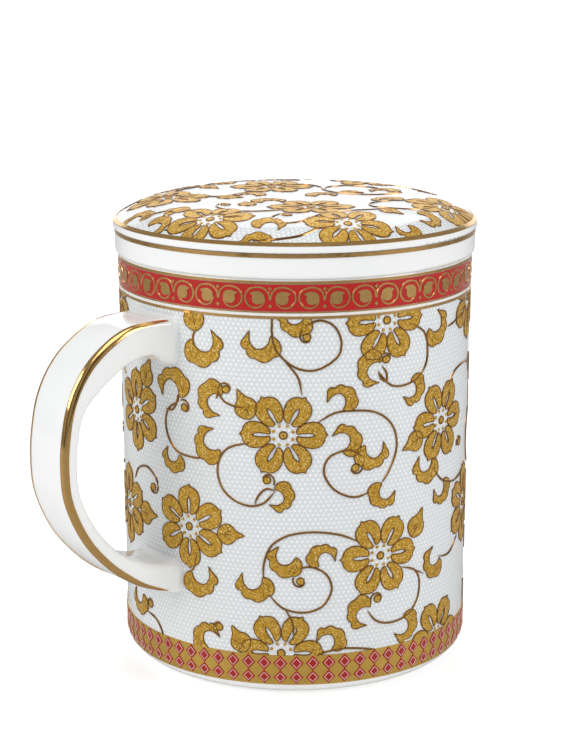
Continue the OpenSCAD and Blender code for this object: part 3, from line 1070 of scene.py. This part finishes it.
# %% Gold lines on the strap
LINE_START, LINE_END = 12, len(middle_line) - 13
LINE_RISE, LINE_SINK = 0.13, 0.1
LINE_TAPER = 16
gold_rings = {0: [], 1: []}
for i in range(LINE_START, LINE_END):
    from_end = min(i - LINE_START, LINE_END - 1 - i)
    fullness = min(1.0, 0.08 + from_end / LINE_TAPER)
    for corner in (0, 1):
        top = section_at(i, LINE_RISE, [corner])
        low = section_at(i, -LINE_SINK, [corner])
        middle = (len(top) - 1) / 2
        keep = fullness * middle
        picks = np.linspace(middle - keep, middle + keep, len(top))
        top, low = [[np.array([np.interp(t, range(len(arc)), np.array(arc)[:, c]) for c in (0, 1)])
                     for t in picks] for arc in (top, low)]
        ring = top + low[::-1]
        gold_rings[corner].append([strap_place(i, a, b) for a, b in ring])
for corner, label in ((0, "front"), (1, "back")):
    line = loft("handle_gold_" + label, gold_rings[corner], bright_gold)
    settle(line, "mug")
    if corner == 0:
        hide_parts("handle_lines")

# %% [markdown]
# ## Studio
# The mug stands on a wide pale floor that glows whiter far away, so no horizon shows. A large soft
# light hangs on each side, one above and one behind. Gold shows what is round it, so dark panels
# stand beside the mug, out of sight, and give the gold its dark edges. A pale card behind whitens
# the lid's mirrored sheen.

# %% Floor and surroundings
GLOW_FROM, GLOW_TO = 200, 1500
deselect_all()
bpy.ops.mesh.primitive_plane_add(size=60, location=(0, 0, -0.0002))
floor = bpy.context.object
floor.name = "floor"
floor_finish, floor_tree, floor_shader = new_finish("Pale floor", roughness=0.55,
                                                     emission_strength=0.85)
floor_place = object_place(floor_tree)[0]
floor_mottle = place_unevenness(floor_tree, floor_place, 0.01)[0]
floor_pale = mix_colours(floor_tree, floor_mottle, (0.55, 0.55, 0.55, 1), (0.52, 0.52, 0.52, 1))
# In reflections the floor loses its glow and turns a darker grey: painted shade seen only in the
# mug's reflections.
floor_rays = add_node(floor_tree, "LightPath")
mirrored_floor = floor_rays.outputs["Is Glossy Ray"]
floor_span = add_node(floor_tree, "VectorMath", {0: floor_place}, operation="LENGTH").outputs[1]
floor_far = add_node(floor_tree, "MapRange",
                     {0: floor_span, 1: GLOW_FROM, 2: GLOW_TO}).outputs[0]
seen_glow = mix_colours(floor_tree, floor_far, (0.65, 0.65, 0.65, 1), (1, 1, 1, 1))
floor_glow = mix_colours(floor_tree, mirrored_floor, seen_glow, (0, 0, 0, 1))
floor_tree.links.new(floor_glow, floor_shader.inputs["Emission Color"])
floor_tone_and_reflected_shade = mix_colours(floor_tree, mirrored_floor, floor_pale, (0.42, 0.41, 0.40, 1))
floor_tree.links.new(floor_tone_and_reflected_shade, floor_shader.inputs["Base Color"])
floor.data.materials.append(floor_finish)

world = bpy.data.worlds.new("Studio")
bpy.context.scene.world = world
world.use_nodes = True
world_tree = world.node_tree
backdrop = world_tree.nodes["Background"]
rays = add_node(world_tree, "LightPath")
unlit = mix_colours(world_tree, rays.outputs["Is Glossy Ray"], (0.42, 0.43, 0.45, 1),
                    (0.34, 0.33, 0.32, 1))
sky = mix_colours(world_tree, rays.outputs["Is Camera Ray"], unlit, (1.0, 1.0, 1.0, 1))
world_tree.links.new(sky, backdrop.inputs[0])
backdrop.inputs[1].default_value = 1.0

# Plain tones keep the whites white and the red and gold as deep as they are fired.
bpy.context.scene.view_settings.view_transform = "Standard"

# %% [markdown]
# ## Camera
# The camera looks at the mug from its handle side, a little from above, through a long lens, as in
# a shop's picture. Its distance and lens give the mug its size in the frame.

# %% Camera and lights
LOOK_AT = Vector((0, 0, 0.0664))
VIEW_TURN = math.radians(-40)
VIEW_DISTANCE = 0.486
PANEL_DISTANCE = 0.75


def out_at(turn, rise=0):
    """Direction out from the mug, in degrees round from the camera's and up from level."""
    a = VIEW_TURN + math.radians(turn)
    e = math.radians(rise)
    return Vector((math.sin(a) * math.cos(e), -math.cos(a) * math.cos(e), math.sin(e)))


view_out = out_at(0, 13.16)
camera_data = bpy.data.cameras.new("camera")
camera_data.lens = 96.1
camera_data.shift_x = -0.0187
camera = bpy.data.objects.new("camera", camera_data)
bpy.context.scene.collection.objects.link(camera)
camera.location = LOOK_AT + view_out * VIEW_DISTANCE
camera.rotation_euler = view_out.to_track_quat("Z", "Y").to_euler()
bpy.context.scene.camera = camera


def soft_light(name, turn, rise, distance, size, power):
    """Square soft light, aimed at the mug from a direction in degrees round the camera's."""
    out = out_at(turn, rise)
    data = bpy.data.lights.new(name, "AREA")
    data.size = size
    data.energy = power
    light = bpy.data.objects.new(name, data)
    light.location = LOOK_AT + out * distance
    light.rotation_euler = out.to_track_quat("Z", "Y").to_euler()
    bpy.context.scene.collection.objects.link(light)


soft_light("left light", -60, 30, 0.9, 0.5, 3.4)
soft_light("right light", 70, 25, 0.9, 0.4, 2.4)
soft_light("top light", 10, 75, 0.9, 0.6, 2.6)
soft_light("back light", 180, 35, 1.0, 0.6, 2.0)


def panel(name, turn, width, height, finish):
    """Upright panel beside or behind the mug, seen only in reflections."""
    middle = out_at(turn) * PANEL_DISTANCE + Vector((0, 0, height / 2))
    deselect_all()
    bpy.ops.mesh.primitive_plane_add(size=1, location=middle)
    sheet = bpy.context.object
    sheet.name = name
    sheet.scale = (width, height, 1)
    sheet.rotation_euler = (math.radians(90), 0, VIEW_TURN + math.radians(turn))
    sheet.visible_camera = False
    sheet.visible_diffuse = False
    sheet.visible_shadow = False
    sheet.data.materials.append(finish)


dark_cloth = new_finish("Dark cloth", roughness=0.9, base_color=(0.02, 0.018, 0.016, 1))[0]
pale_card = new_finish("Pale card", roughness=0.9, emission_strength=0.46,
                       emission_color=(1, 0.99, 0.97, 1))[0]
panel("dark panel left", -30, 0.16, 0.9, dark_cloth)
panel("dark panel right", 28, 0.22, 0.9, dark_cloth)
panel("dark panel far right", 115, 0.5, 0.9, dark_cloth)
panel("dark panel far left", -110, 0.4, 0.9, dark_cloth)
panel("pale card behind", 180, 0.8, 0.5, pale_card)
